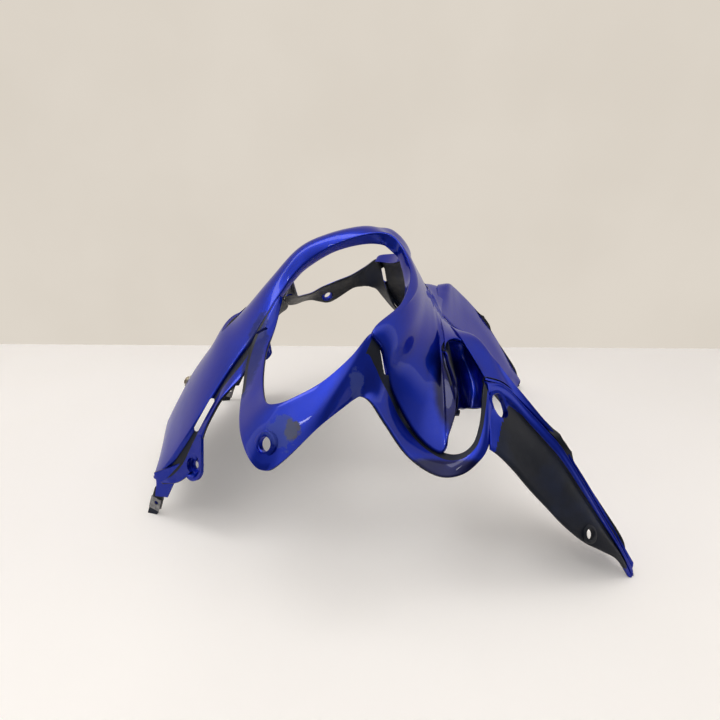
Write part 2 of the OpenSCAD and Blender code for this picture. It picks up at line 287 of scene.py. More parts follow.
# %% Grain group
grain, given, result = new_group(
    "grain", [("Scale", FLOAT, 900.0), ("Coarse Scale", FLOAT, 60.0)],
    [("Fine", FLOAT), ("Coarse", FLOAT)])
place = add(grain, "ShaderNodeTexCoord")
fine = add(grain, "ShaderNodeTexNoise", inputs={
    "Vector": place.outputs["Object"], "Scale": given.outputs["Scale"], "Detail": 3.0})
coarse = add(grain, "ShaderNodeTexNoise", inputs={
    "Vector": place.outputs["Object"], "Scale": given.outputs["Coarse Scale"], "Detail": 4.0})
grain.links.new(fine.outputs["Fac"], result.inputs["Fine"])
grain.links.new(coarse.outputs["Fac"], result.inputs["Coarse"])

# %% [markdown]
# Local wear and shade is a mask round one place: an oval that fades out, broken up
# by noise so that its edge is ragged. Dirt, scuffs and dull patches all use it, and
# so does the painted shade in the scoop and on the loop under it.

# %% Local wear and shade group
wear_and_shade, given, result = new_group(
    "local_wear",
    [("Place", VECTOR, (0, 0, 0)), ("Reach", VECTOR, (0.01, 0.01, 0.01)),
     ("Grain Scale", FLOAT, 400.0), ("Raggedness", FLOAT, 0.8)],
    [("Mask", FLOAT)])
place = add(wear_and_shade, "ShaderNodeTexCoord")
away = add(wear_and_shade, "ShaderNodeVectorMath", operation="SUBTRACT",
           inputs={0: place.outputs["Object"], 1: given.outputs["Place"]})
scaled = add(wear_and_shade, "ShaderNodeVectorMath", operation="DIVIDE",
             inputs={0: away.outputs[0], 1: given.outputs["Reach"]})
radius = add(wear_and_shade, "ShaderNodeVectorMath", operation="LENGTH", inputs={0: scaled.outputs[0]})
rough = add(wear_and_shade, "ShaderNodeTexNoise", inputs={
    "Vector": place.outputs["Object"], "Scale": given.outputs["Grain Scale"], "Detail": 6.0,
    "Roughness": 0.65})
lean = maths(wear_and_shade, "SUBTRACT", rough.outputs["Fac"], 0.5)
lean = maths(wear_and_shade, "MULTIPLY", lean, given.outputs["Raggedness"])
edge = maths(wear_and_shade, "ADD", radius.outputs["Value"], lean)
wear_and_shade.links.new(span(wear_and_shade, edge, 1.0, 0.7), result.inputs["Mask"])

# %% [markdown]
# Dust settles where a surface looks up and gathers in soft blotches. The mask is
# the normal's upward part times a noise, so that it follows any shape by itself.

# %% Dust group
dust, given, result = new_group(
    "dust", [("Scale", FLOAT, 90.0), ("Amount", FLOAT, 0.5)], [("Mask", FLOAT)])
place = add(dust, "ShaderNodeTexCoord")
look = add(dust, "ShaderNodeNewGeometry")
split = add(dust, "ShaderNodeSeparateXYZ", inputs={0: look.outputs["Normal"]})
blotch = add(dust, "ShaderNodeTexNoise", inputs={
    "Vector": place.outputs["Object"], "Scale": given.outputs["Scale"], "Detail": 5.0})
upward = span(dust, split.outputs["Z"], 0.1, 0.9)
speck = span(dust, blotch.outputs["Fac"], 0.45, 0.75)
both = maths(dust, "MULTIPLY", upward, speck)
dust.links.new(maths(dust, "MULTIPLY", both, given.outputs["Amount"]), result.inputs["Mask"])
print("groups:", sorted(g.name for g in bpy.data.node_groups))

# %% [markdown]
# A material is then a few groups and blends in front of one Principled shader, so
# three short helpers are enough to write it down.

# %% Helpers for materials
def placed_group(tree, group, **values):
    """A group in a material, with its own values."""
    node = add(tree, "ShaderNodeGroup", node_tree=group)
    for key, value in values.items():
        node.inputs[key.replace("_", " ").title()].default_value = value
    return node


def blended(tree, share, a, b):
    """A colour between two, by a mask."""
    node = add(tree, "ShaderNodeMix", data_type="RGBA")
    for socket, value in ((0, share), (6, a), (7, b)):
        if hasattr(value, "is_output"):
            tree.links.new(value, node.inputs[socket])
        else:
            node.inputs[socket].default_value = value
    return node.outputs[2]


def new_material(name, sockets):
    """A material with constants set on its Principled shader."""
    mat = bpy.data.materials.new(name)
    mat.use_nodes = True
    shader = mat.node_tree.nodes["Principled BSDF"]
    for key, value in sockets.items():
        shader.inputs[key].default_value = value
    return mat, mat.node_tree, shader


# %% [markdown]
# The lacquer is a candy blue: metal flake under a tinted coat, under clear varnish.
# A metallic base gives the flake, and the varnish is the shader's coat. The marks
# are where the photograph shows them: an old adhesive patch and scuffs on the
# brace, a rubbed spot by the cheek, and a dull, dusty face on the leg. A mark is
# matt, so it takes metal and varnish away and adds roughness. In the scoop and on
# the loop below it the lacquer looks nearly black, and two wide, soft masks of the
# same group paint shade there: they darken the colour itself towards black.

# %% Candy blue lacquer
BLUE_DEEP = (0.002, 0.008, 0.17, 1)
BLUE_LIT = (0.004, 0.026, 0.44, 1)
BLUE_SHADE = (0.001, 0.002, 0.05, 1)
# painted shade: where two soft masks darken the lacquer, in the scoop and on the loop under it
PAINTED_SHADE_PLACES = [
    ((0.074, -0.140, 0.133), (0.022, 0.052, 0.036)),
    ((0.062, -0.196, 0.095), (0.060, 0.014, 0.014))]
DUST = (0.16, 0.165, 0.18, 1)
GRIME = (0.035, 0.035, 0.045, 1)
ADHESIVE = (0.12, 0.115, 0.085, 1)
SCUFF = (0.09, 0.12, 0.27, 1)
PATCHES = [
    ("adhesive", (-0.0435, -0.2045, 0.133), (0.006, 0.008, 0.009), 170, 1.5, ADHESIVE, 0.9),
    ("brace_scuff", (-0.0505, -0.204, 0.132), (0.012, 0.014, 0.012), 230, 2.2, SCUFF, 0.4),
    ("cheek_scuff", (-0.002, -0.175, 0.153), (0.006, 0.008, 0.013), 260, 1.8, SCUFF, 0.5),
    ("leg_dust", (-0.093, -0.100, 0.150), (0.011, 0.075, 0.034), 160, 0.8, GRIME, 0.6)]
TONE_SHARE, FLAKE_SHARE = 0.12, 0.22
GLOSS_LOW, GLOSS_HIGH = 0.34, 0.42
METAL, VARNISH = 0.85, 0.55
MATT_ROUGHER, MATT_LESS_METAL, MATT_LESS_VARNISH = 0.5, 0.9, 0.7
paint, tree, shader = new_material("candy_blue", {
    "Coat Roughness": 0.04, "Coat IOR": 1.5, "Specular Tint": (0.25, 0.3, 0.9, 1)})
detail = placed_group(tree, grain, scale=2600.0, coarse_scale=35.0)
tone = span(tree, detail.outputs["Coarse"], 0.3, 0.7, TONE_SHARE, 0.0)
colour = blended(tree, tone, BLUE_LIT, BLUE_DEEP)
flake = span(tree, detail.outputs["Fine"], 0.35, 0.75, FLAKE_SHARE, 0.0)
colour = blended(tree, flake, colour, BLUE_DEEP)
roughness = span(tree, detail.outputs["Coarse"], 0.2, 0.8, GLOSS_LOW, GLOSS_HIGH)
matt = None
for label, where, reach, scale, ragged, tint, strength in PATCHES:
    patch = placed_group(tree, wear_and_shade, place=where, reach=reach, grain_scale=float(scale),
                         raggedness=ragged)
    patch.label = label
    mask = maths(tree, "MULTIPLY", patch.outputs["Mask"], strength)
    colour = blended(tree, mask, colour, tint)
    matt = mask if matt is None else maths(tree, "MAXIMUM", matt, mask)
# painted shade in the colour: the scoop's recess and the loop under it turn nearly black
for where, reach in PAINTED_SHADE_PLACES:
    painted_shade = placed_group(tree, wear_and_shade, place=where, reach=reach, grain_scale=60.0, raggedness=0.2)
    colour = blended(tree, painted_shade.outputs["Mask"], colour, BLUE_SHADE)
film = placed_group(tree, dust, scale=120.0, amount=0.03)
colour = blended(tree, film.outputs["Mask"], colour, DUST)
tree.links.new(colour, shader.inputs["Base Color"])
rougher = maths(tree, "MULTIPLY", matt, MATT_ROUGHER)
tree.links.new(maths(tree, "ADD", roughness, rougher), shader.inputs["Roughness"])
for socket, full, loss in (("Metallic", METAL, MATT_LESS_METAL),
                           ("Coat Weight", VARNISH, MATT_LESS_VARNISH)):
    lost = maths(tree, "MULTIPLY", matt, loss)
    tree.links.new(maths(tree, "SUBTRACT", full, lost, True), shader.inputs[socket])
print("lacquer:", len(PATCHES), "marks,", len(PAINTED_SHADE_PLACES), "deep places")

# %% [markdown]
# The back and the masked panel are the bare moulding: black plastic with a faint
# blue overspray. One plain colour would look like a cut-out, so a fine bump breaks
# up its soft gloss and the overspray drifts over it in wide patches.

# %% Bare black plastic
BLACK = (0.007, 0.009, 0.016, 1)
OVERSPRAY = (0.008, 0.013, 0.034, 1)
bare, tree, shader = new_material("bare_black", {"Specular IOR Level": 0.3})
detail = placed_group(tree, grain, scale=1400.0, coarse_scale=28.0)
film = placed_group(tree, dust, scale=150.0, amount=0.03)
colour = blended(tree, span(tree, detail.outputs["Coarse"], 0.45, 0.65), BLACK, OVERSPRAY)
colour = blended(tree, film.outputs["Mask"], colour, DUST)
tree.links.new(colour, shader.inputs["Base Color"])
tree.links.new(span(tree, detail.outputs["Coarse"], 0.3, 0.7, 0.38, 0.5),
               shader.inputs["Roughness"])
bump = add(tree, "ShaderNodeBump", inputs={
    "Strength": 0.25, "Distance": 0.0003, "Height": detail.outputs["Fine"]})
tree.links.new(bump.outputs["Normal"], shader.inputs["Normal"])

# %% [markdown]
# The fasteners are plated steel. The screw has gone brassy, the washer is pale and
# the clips are grey. They differ only in tone and roughness, so one function makes
# all three, each between a pale and a dark tone.

# %% Plated steel
def plated(name, pale, dark, scale, low, high):
    """Plated steel that varies between two tones."""
    mat, tree, shader = new_material(name, {"Metallic": 1.0})
    detail = placed_group(tree, grain, scale=scale, coarse_scale=scale / 4)
    tone = span(tree, detail.outputs["Coarse"], 0.35, 0.65)
    tree.links.new(blended(tree, tone, dark, pale), shader.inputs["Base Color"])
    tree.links.new(span(tree, detail.outputs["Fine"], 0.3, 0.7, low, high),
                   shader.inputs["Roughness"])
    return mat


FINISHES = {
    "screw": plated("brassy_steel", (0.42, 0.36, 0.26, 1), (0.16, 0.13, 0.09, 1), 1600.0, 0.3, 0.5),
    "washer": plated("pale_steel", (0.62, 0.6, 0.56, 1), (0.4, 0.38, 0.34, 1), 1200.0, 0.3, 0.5),
    "clips": plated("grey_steel", (0.4, 0.4, 0.41, 1), (0.2, 0.2, 0.21, 1), 1000.0, 0.35, 0.55)}
print("materials:", sorted(m.name for m in bpy.data.materials))

# %% [markdown]
# Holes and bosses stand on a point of the shell and look along an axis. A small
# frame with its Z along that axis places each cutter, boss and fastener. Most are
# either an outline drawn out straight or a profile turned round the axis, as on a
# lathe, so these two are all the solids that the moulding needs.

# %% Placed solids
def aimed(point, axis):
    """Frame in the scene with its Z along an axis of the near half, at a point."""
    a = unit(near(axis))
    turn = Matrix.Rotation(math.atan2(a[1], a[0]), 4, "Z")
    tilt = Matrix.Rotation(math.acos(a[2]), 4, "Y")
    return Matrix.Translation(Vector(to_scene(near(point)))) @ turn @ tilt


def solid(name, build, finishes):
    """An object whose mesh is made by build(bm), in millimetres."""
    bm = bmesh.new()
    build(bm)
    bmesh.ops.recalc_face_normals(bm, faces=bm.faces)
    mesh = bpy.data.meshes.new(name)
    bm.to_mesh(mesh)
    bm.free()
    for finish in finishes:
        mesh.materials.append(finish)
    obj = bpy.data.objects.new(name, mesh)
    bpy.context.scene.collection.objects.link(obj)
    return obj


def prism(name, outline, low, high, place, finishes=(paint, bare)):
    """An outline drawn out from low to high, then placed."""
    def build(bm):
        under = [bm.verts.new((x, y, low)) for x, y in outline]
        over = [bm.verts.new((x, y, high)) for x, y in outline]
        bm.faces.new(under[::-1])
        bm.faces.new(over)
        for k in range(len(outline)):
            m = (k + 1) % len(outline)
            bm.faces.new((under[k], under[m], over[m], over[k]))
    obj = solid(name, build, finishes)
    obj.data.transform(place @ Matrix.Scale(MM, 4))
    return obj


def turned(name, profile, place, finishes=(paint, bare), steps=48):
    """A profile of (radius, height) turned round the axis into a closed ring or plug."""
    def build(bm):
        rings = []
        for radius, height in profile:
            if radius == 0:
                rings.append([bm.verts.new((0, 0, height))])
                continue
            angles = [2 * math.pi * k / steps for k in range(steps)]
            rings.append([bm.verts.new((radius * math.cos(a), radius * math.sin(a), height))
                          for a in angles])
        closed = profile[0][0] > 0
        for k in range(len(rings) if closed else len(rings) - 1):
            a, b = rings[k], rings[(k + 1) % len(rings)]
            for q in range(steps):
                r = (q + 1) % steps
                corners = [a[q % len(a)], a[r % len(a)], b[r % len(b)], b[q % len(b)]]
                bm.faces.new(list(dict.fromkeys(corners)))
    obj = solid(name, build, finishes)
    obj.data.transform(place @ Matrix.Scale(MM, 4))
    return obj

# %% [markdown]
# Two outlines serve all the long holes and the air intake: a slot with round ends,
# and a polygon whose corners are grown and rounded.

# %% Outlines and slot cutters
def long_outline(length, width, steps=12):
    """Points of a slot with round ends, along X."""
    half, points = (length - width) / 2, []
    for side in (1, -1):
        for k in range(steps + 1):
            a = math.pi * (k / steps - 0.5) + (0 if side == 1 else math.pi)
            points.append((side * half + width / 2 * math.cos(a), width / 2 * math.sin(a)))
    return points


def rounded(corners, radius, steps=5):
    """An outline with its corners, given anticlockwise, grown and rounded by a radius."""
    points, count = [], len(corners)
    for k in range(count):
        p = np.array(corners[k], float)
        before = unit(p - np.array(corners[k - 1], float))
        after = unit(np.array(corners[(k + 1) % count], float) - p)
        a0 = math.atan2(-before[0], before[1])
        a1 = math.atan2(-after[0], after[1])
        while a1 < a0:
            a1 += 2 * math.pi
        for s in range(steps + 1):
            a = a0 + (a1 - a0) * s / steps
            points.append((p[0] + radius * math.cos(a), p[1] + radius * math.sin(a)))
    return points


def slot_cutter(a, b, axis, width, half_height):
    """Cutter for a long hole of the near half from a to b."""
    a, b = np.array(a, float), np.array(b, float)
    place = aimed((a + b) / 2, axis)
    run = place.to_3x3().inverted() @ Vector(near(b) - near(a))
    turn = Matrix.Rotation(math.atan2(run.y, run.x), 4, "Z")
    length = math.hypot(run.x, run.y) + width
    return prism("slot_cutter", long_outline(length, width), -half_height, half_height,
                 place @ turn)

# %% [markdown]
# Holes are cut with the Boolean modifier, applied at once, so that each result is a
# plain mesh. The exact solver cuts the small shells and the fast one the large
# skin, and a cut that leaves nothing stops the script.

# %% Cutting, joining and mirroring
def combined(obj, tools, operation, solver="EXACT"):
    """The object after a boolean with each tool, as a new mesh on the same object."""
    for tool in tools:
        step = obj.modifiers.new("step", "BOOLEAN")
        step.operation = operation
        step.object = tool
        step.solver = solver
        bpy.context.view_layer.update()
        result = bpy.data.meshes.new_from_object(
            obj.evaluated_get(bpy.context.evaluated_depsgraph_get()))
        obj.modifiers.clear()
        if len(result.polygons) == 0:
            raise ValueError(f"{obj.name} vanished at {tool.name}")
        obj.data = result
    return obj


def discard(objects):
    """Removes cutters that have done their work."""
    for obj in objects:
        bpy.data.objects.remove(obj, do_unlink=True)


def shell(name, mesh):
    """A shell of the moulding as an object in the scene."""
    obj = bpy.data.objects.new(name, mesh)
    bpy.context.scene.collection.objects.link(obj)
    print(name, len(mesh.polygons), "faces")
    return obj


def left_bare(obj):
    """Marks every face of a piece as unpainted."""
    obj.data.polygons.foreach_set("material_index", [BARE] * len(obj.data.polygons))


def mirrored(obj, name):
    """A copy of a near-half piece for the far half."""
    copy = obj.copy()
    copy.name = name
    copy.data = obj.data.copy()
    copy.data.transform(Matrix.Scale(-1, 4, (0, 1, 0)))
    copy.data.flip_normals()
    bpy.context.scene.collection.objects.link(copy)
    return copy


# %% [markdown]
# The painted skin is one double-curved sheet from the chin, over the spine between
# the lamps, to the screen's edge. Each section runs from the crown line on the
# middle to the skin's lip, then turns down a small step. The shoulder rail is the
# handle that says how full each section is. Sculpting could give such a form too,
# but rails keep it smooth and let one point be moved when a line is off.

# %% Rails of the painted skin
crown = [
    [front_x, 0, corner_h + 4], [front_x + 13, 0, 63], [front_x + 34, 0, 97], [-168, 0, 127],
    [-155, 0, 147], [-138, 0, 158], [-109, 0, 190], [-80, 0, PEAK - 21], [-50, 0, PEAK - 7],
    [-16, 0, PEAK], [5, 0, PEAK - 5], [14, 0, PEAK - 13], [21, 0, PEAK - 22],
    [27, 0, PEAK - 31], [33, 0, PEAK - 39], [38, 0, PEAK - 47], [42, 0, PEAK - 54],
    [45, 0, PEAK - 60], [48, 0, PEAK - 65], [50, 0, PEAK - 69], [52, 0, PEAK - 72],
    [54, 0, PEAK - 75], [56, 0, PEAK - 78], [58, 0, PEAK - 81], [60, 0, PEAK - 84],
    [62, 0, PEAK - 87]]
lip = [
    [corner_x, CHIN_HALF - 6, corner_h], [-181, CHIN_HALF, 56], [-155, CHIN_HALF, 92],
    [-137, 108, 120], [-124, 93, 139], [-111, 76, 156], [-94, 36, 182],
    [-76, SPINE_HALF + 3, PEAK - 37], [-50, SPINE_HALF, PEAK - 19], [-16, SPINE_HALF, PEAK - 6],
    [6, SPINE_HALF + 2, PEAK - 4], [18, 34, PEAK - 14], [25, 66, 211], [16, 114, 197],
    [-5, 152, 187], [3, 156, 172], [10, 160, 143], [27, 173, 115], [44, 181, 104],
    [50, 173, 114], [56, 160, 127], [56, 146, 140], [51, 124, 156], [55, 104, 163],
    [68, 100, 161], [80, 138, 149]]
shoulder = [
    [front_x + 19, 66, corner_h + 7], [-199, 75, 67], [-179, 78, 99], [-163, 68, 128],
    [-149, 58, 147], [-134, 48, 162], [-106, 24, 192], [-79, 13, PEAK - 22],
    [-50, 11, PEAK - 7], [-16, 11, PEAK - 1], [5, 12, PEAK - 4], [19, 22, PEAK - 9],
    [34, 44, 215], [43, 82, 201], [36, 118, 195], [34, 126, 188], [36, 128, 174],
    [42, 132, 162], [48, 134, 154], [50, 128, 156], [52, 120, 160], [52, 112, 164],
    [52, 96, 170], [56, 84, 168], [66, 78, 164], [78, 92, 164]]
# The lip's drop: up to 1 is a share of the step, from 1 to 2 it grows to the rim's depth
drop = [1, 1, 1, 1, 1, 1, 1.4, 2, 2, 2, 2, 2, 2, 2, 1.4, 1, 1, 1, 1, 0.6, 0.5, 0.5, 0.5, 0.5,
        0.5, 0.6]

# %% Sections of the painted skin
SKIN_STEPS = 8
SKIN_ACROSS = 18
CROWN_FULLNESS = 0.45
LIP_SHARE = 0.45
skin_count = (len(crown) - 1) * SKIN_STEPS
crown_line, lip_line, shoulder_line = (curve(r, skin_count) for r in (crown, lip, shoulder))
drop_line = curve([[d] for d in drop], skin_count)[:, 0]
forward = np.vstack([lip_line[1] - lip_line[0], lip_line[2:] - lip_line[:-2],
                     lip_line[-1] - lip_line[-2]])
outward = unit(lip_line - shoulder_line)
inward = -unit(np.cross(unit(forward), outward))
depth = np.where(drop_line <= 1, drop_line * STEP_DROP,
                 STEP_DROP + (drop_line - 1) * (RIM_DEPTH - STEP_DROP))
foot_line = lip_line + depth[:, None] * inward


def skin_section(i):
    """Points of one half section, from the crown to the foot of the step."""
    c, s, e = crown_line[i], shoulder_line[i], lip_line[i]
    full = [c[0], CROWN_FULLNESS * s[1], c[2]]
    turn = min(LIP_ROUND, LIP_SHARE * depth[i])
    # a cubic curve leaves its end at three times the length of its last handle
    handle = max(3 * np.linalg.norm(e - s), 4 * turn)
    t = np.linspace(0, 1 - turn / handle, SKIN_ACROSS + 1)[:, None]
    top = ((1 - t) ** 3 * c + 3 * t * (1 - t) ** 2 * full + 3 * t * t * (1 - t) * s + t ** 3 * e)
    start, end = top[-1], e + turn * inward[i]
    q = np.array([0.2, 0.4, 0.6, 0.8, 1])[:, None]
    bend = (1 - q) ** 2 * start + 2 * q * (1 - q) * e + q * q * end
    fall = [end + (foot_line[i] - end) * k for k in (0.5, 1)]
    return np.vstack([top, bend, fall])


half = np.array([skin_section(i) for i in range(skin_count + 1)])
skin_grid = np.concatenate([near(half)[:, ::-1], half[:, 1:]], axis=1)
skin = shell("skin", sheet("skin", skin_grid))

# %% [markdown]
# Round the lamp opening the skin's foot turns out into a recessed flange: it comes
# down the leg, turns at the brace's corner, climbs to the cheek and then loops
# under the scoop to the ear. One loft along the whole path keeps it a single
# ribbon, where a sheet for each stretch would show its joints. A third rail in the
# middle arches it. Another flange backs the long slot beside the chin.

# %% Flanges
brace_at = [-75, BRACE_HALF, BRACE_H]
brace_axis = [-0.5, 0.77, 0.4]
flange_in = [
    [-91, 32, 180], [-93, 62, 161], [-96, 90, 151], [-94, 116, 146], [-88, 150, 141],
    [-80, BRACE_HALF - 30, BRACE_H + 17], [-70, BRACE_HALF - 21, BRACE_H + 20],
    [-58, BRACE_HALF - 21, BRACE_H + 25], [-39, 180, 158], [-21, 168, 171], [-5, 151, 184],
    [2, 154, 170], [6, 157, 156], [12, 155, 139], [20, 160, 121], [32, 169, 109],
    [46, 177, 103], [57, 184, 106], [66, 182, 113], [71, 174, 124], [74, 163, 137],
    [77, 150, 147]]
flange_out = [
    [-97, 36, 180], [-109, 72, 158], [-113, 98, 140], [-109, 130, 131], [-103, 166, 126],
    [-96, BRACE_HALF - 16, BRACE_H - 3], [-86, BRACE_HALF + 3, BRACE_H - 10],
    [-76, BRACE_HALF + 11, BRACE_H - 13], [-64, BRACE_HALF + 11, BRACE_H - 8],
    [-40, 203, 134], [-24, 186, 141], [-17, 177, 143], [-12, 174, 144], [-5, 177, 141],
    [5, 183, 128], [21, 192, 108], [41, 197, 96], [58, 197, 97], [71, 191, 105],
    [77, 184, 111], [81, 174, 119], [84, 163, 129]]
FLANGE_ARCH = (0, 1.5, 1)
flange_middle = [[(a + b) / 2 + rise for a, b, rise in zip(p, q, FLANGE_ARCH)]
                 for p, q in zip(flange_in, flange_out)]
LEG_MASK_END, LEG_MASK_WIDTH = 0.16, 0.2
LOOP_MASK_START, LOOP_MASK_EDGE = 0.48, 0.74


def flange_bare_and_shade(u, v):
    """The bottom of the groove beside the skin is bare black: partly unsprayed, partly painted
    shade.
    """
    leg = u < LEG_MASK_END and v < LEG_MASK_WIDTH
    cheek_and_scoop = u > LOOP_MASK_START and v > LOOP_MASK_EDGE
    return leg or cheek_and_scoop


flange_grid = loft([flange_out, flange_middle, flange_in], 192, 10)
flange = shell("flange", sheet("flange", flange_grid, WALL, flange_bare_and_shade))

strip_out = [
    [corner_x + 10, CHIN_HALF, 38], [-170, CHIN_HALF + 8, 44], [-154, CHIN_HALF + 11, 60],
    [-147, CHIN_HALF + 9, 80], [-142, CHIN_HALF + 6, 95], [-136, CHIN_HALF + 3, 107],
    [-130, CHIN_HALF, 117], [-123, CHIN_HALF - 8, 124], [-116, CHIN_HALF - 17, 130],
    [-112, CHIN_HALF - 25, 137]]
strip_last = 5 * SKIN_STEPS
under_step = (foot_line - WALL * unit(outward + inward))[:strip_last + 1]
strip_line = curve(strip_out, strip_last)
strip_grid = near(np.stack([strip_line * (1 - k) + under_step * k
                            for k in np.linspace(0, 1, 7)], axis=1))
# The strip's half by the step is bare black: partly unsprayed plastic, partly painted shade for the
# dark gap under the step.
chin_strip = shell("chin_strip", sheet("chin_strip", strip_grid, WALL, lambda u, v: v > 0.5))

# %% [markdown]
# Inside the scoop a duct dives from the hood to a free edge that shows as the dark
# hollow in the photograph. Three rails are enough: where it leaves the hood, how
# deep it runs, and its edge.

# %% Scoop duct
duct_top = [
    [56.3, 156.9, 125.9], [56, 143, 138.9], [51, 122.2, 154.2], [54, 102.2, 160.7],
    [68.2, 97, 158.9], [77, 109, 156.4], [81.8, 136.1, 148.4]]
duct_deep = [
    [58.1, 152, 122], [59.6, 136.1, 130.1], [62, 111.8, 138.1], [66.1, 98.1, 138],
    [74.8, 96.2, 133.9], [80.9, 108.4, 129.9], [81.8, 128.3, 127.7]]
duct_free = [
    [57, 156.3, 123], [60, 148.1, 121.9], [63.1, 140.1, 119.8], [66.9, 132.4, 115.7],
    [71.7, 127.1, 114.4], [76, 128.6, 115], [80, 137.2, 120]]
duct = shell("duct", sheet("duct", loft([duct_free, duct_deep, duct_top], 60, 16)))

# %% [markdown]
# The ear is one sheet across several forms: a plain panel that was masked off when
# the part was painted, a rib, a narrow groove, then the ridge and the painted sheet
# that runs down to the tip. Five measured rails carry the form. The others lie
# between them at a share of the way and are lifted, so that rib and groove follow
# every bend. Its rim is painted all round, as its edge faces the spray.

# %% Ear
ear_lip = [
    [78, 143, 148.6], [90, 143, 145], [98, 144, 139], [110, 150, 128.5], [122, 155, 117],
    [135, 160, 104], [152, 167, 79], [168, 172, 54], [185, 177, 28], [EAR_REACH, EAR_HALF, 8]]
ear_ridge = [
    [66, 99, 163.4], [79, 103, 164], [87, 116, 157], [97, 133, 146], [110, 145, 132.5],
    [126, 154, 114], [146, 162, 88], [165, 169, 60], [182, 175, 33],
    [EAR_REACH, EAR_HALF - 2, 10]]
sheet_in = [
    [58, 14, 154], [68, 32, 144], [80, 50, 129], [93, 68, 116], [107, 84, 102],
    [121, 100, 88], [138, 112, 66], [155, 122, 45], [172, 136, 24], [187, 158, 5]]
panel_up = [
    [78, 150, 142], [88, 146, 140], [97, 147, 134], [109, 152, 122], [121, 157, 110],
    [134, 162, 96], [151, 169, 71], [167, 174, 46], [183, 179, 21],
    [EAR_REACH - 1, EAR_HALF + 3, 1]]
panel_low = [
    [78, 186, 111], [86, 188, 106], [96, 189, 96], [108, 191, 82], [121, 192, 68],
    [135, 193, 53], [152, 192, 38], [167, 190, 29], [182, 187, 18],
    [EAR_REACH - 2, EAR_HALF + 4, -3]]
ear_axis = np.array([0.497, 0.715, 0.489])


def between(a, b, share, lift=0, rise=0):
    """A rail between two others, lifted along the ear's axis and raised."""
    a, b = np.array(a, float), np.array(b, float)
    lifts = np.array([lift] * (len(a) - 1) + [0.2 * lift])[:, None]
    return a * (1 - share) + b * share + lifts * ear_axis + [0, 0, rise]


EAR_RAILS = [
    panel_low, between(panel_low, panel_up, 0.5, 2), between(panel_low, panel_up, 0.8, 1.4),
    between(panel_low, panel_up, 0.865, 1.4), between(panel_low, panel_up, 0.9, RIB_H),
    between(panel_up, ear_lip, 0.0, RIB_H), between(panel_up, ear_lip, 0.4, 2.4),
    between(panel_up, ear_lip, 0.7, -1.5), ear_lip, ear_ridge,
    between(ear_ridge, sheet_in, 0.38, 0, 3), between(ear_ridge, sheet_in, 0.7, 2), sheet_in]
MASKED_FROM, MASKED_TO, MASK_SLANT = 0.05, 0.94, 0.07
PANEL_RAILS = 3.5
GROOVE_RAILS = (6.5, 7.5)
GROOVE_END = 0.33
ear_last = len(EAR_RAILS) - 1


def ear_bare_and_shade(u, v):
    """The panel beyond the scoop has no paint; the groove near the root is bare black, partly
    unsprayed and partly painted shade.
    """
    rail = v * ear_last
    panel = rail < PANEL_RAILS and MASKED_FROM + MASK_SLANT * rail < u < MASKED_TO
    # painted shade, in part: the groove near the root is left bare black
    groove = GROOVE_RAILS[0] < rail < GROOVE_RAILS[1] and u < GROOVE_END
    return panel or groove


ear_grid = loft(EAR_RAILS, 108, ear_last * 6)
ear = shell("ear", sheet("ear", ear_grid, WALL, ear_bare_and_shade, RIM_RINGS))

# %% [markdown]
# The foot at the chin's corner ends in a flat tongue that carries a clip nut, and
# the lug beside it is a plate with a dished seat for a countersunk screw. The plate
# is a drawn-out outline, joined with a turned cup and cut by a turned dish.

# %% Foot and lug
tab_axis = [-0.24, 0.97, 0.03]
tab_at = [corner_x + 1, CHIN_HALF - 5.5, 15]
on_tab = aimed(tab_at, tab_axis) @ Matrix.Rotation(math.radians(-20), 4, "Z")
foot_front = [
    [corner_x + 4, CHIN_HALF - 1, 46], [corner_x + 4, CHIN_HALF - 2.5, 36],
    [corner_x, CHIN_HALF - 4.5, 20]]
foot_back = [
    [-166, CHIN_HALF + 3, 60], [corner_x + 23, CHIN_HALF + 1, 41],
    [corner_x + 12, CHIN_HALF - 3, 20]]
foot = shell("foot", sheet("foot", loft([foot_front, foot_back], 24, 8)))
tongue = prism("tongue", [(-13, -5), (21, -5), (21, 5), (-13, 5)], -WALL, 0, on_tab)
left_bare(tongue)

lug_at = [-155, CHIN_HALF + 10, 62]
lug_axis = [-0.57, 0.77, 0.29]
LUG_BORE = 7
lug_place = aimed(lug_at, lug_axis)
lug_r = LUG_BORE / 2 + 9.5
lug_edge = [(lug_r * math.cos(a), lug_r * math.sin(a))
            for a in np.linspace(-1.65, 1.5, 24)]
lug = prism("lug", lug_edge + [(-24.5, 7), (-27, 6), (-28, 3.5), (-27, 1.5), (-25.5, 1)],
            -WALL, 0, lug_place)
lug_cup = turned("lug_cup", [(0, -6.5), (LUG_BORE / 2 + 4, -6.5), (LUG_BORE / 2 + 8.6, -0.3),
                             (0, -0.3)], lug_place)
combined(lug, [lug_cup], "UNION")
lug_dish = turned("lug_dish", [(0, -4), (LUG_BORE / 2 + 2, -4), (LUG_BORE / 2 + 3, -3.7),
                               (LUG_BORE / 2 + 7, 0), (LUG_BORE / 2 + 7.8, 1), (0, 1)], lug_place)
lug_bore = turned("lug_bore", [(0, -20), (LUG_BORE / 2, -20), (LUG_BORE / 2, 20), (0, 20)],
                  lug_place)
combined(lug, [lug_dish, lug_bore], "DIFFERENCE")
discard([lug_cup, lug_dish, lug_bore])
print("tongue and lug:", len(tongue.data.polygons), len(lug.data.polygons), "faces")

# %% [markdown]
# Holes come last. Each cutter goes only through the shells that it meets, and a
# raised ring with a rounded brow is set round every bolt hole, as on the real part.
# The ear's two holes are placed on its rails, so they stay on the panel if the ear
# changes. The ring near the tip lies inside the masked panel and is bare.

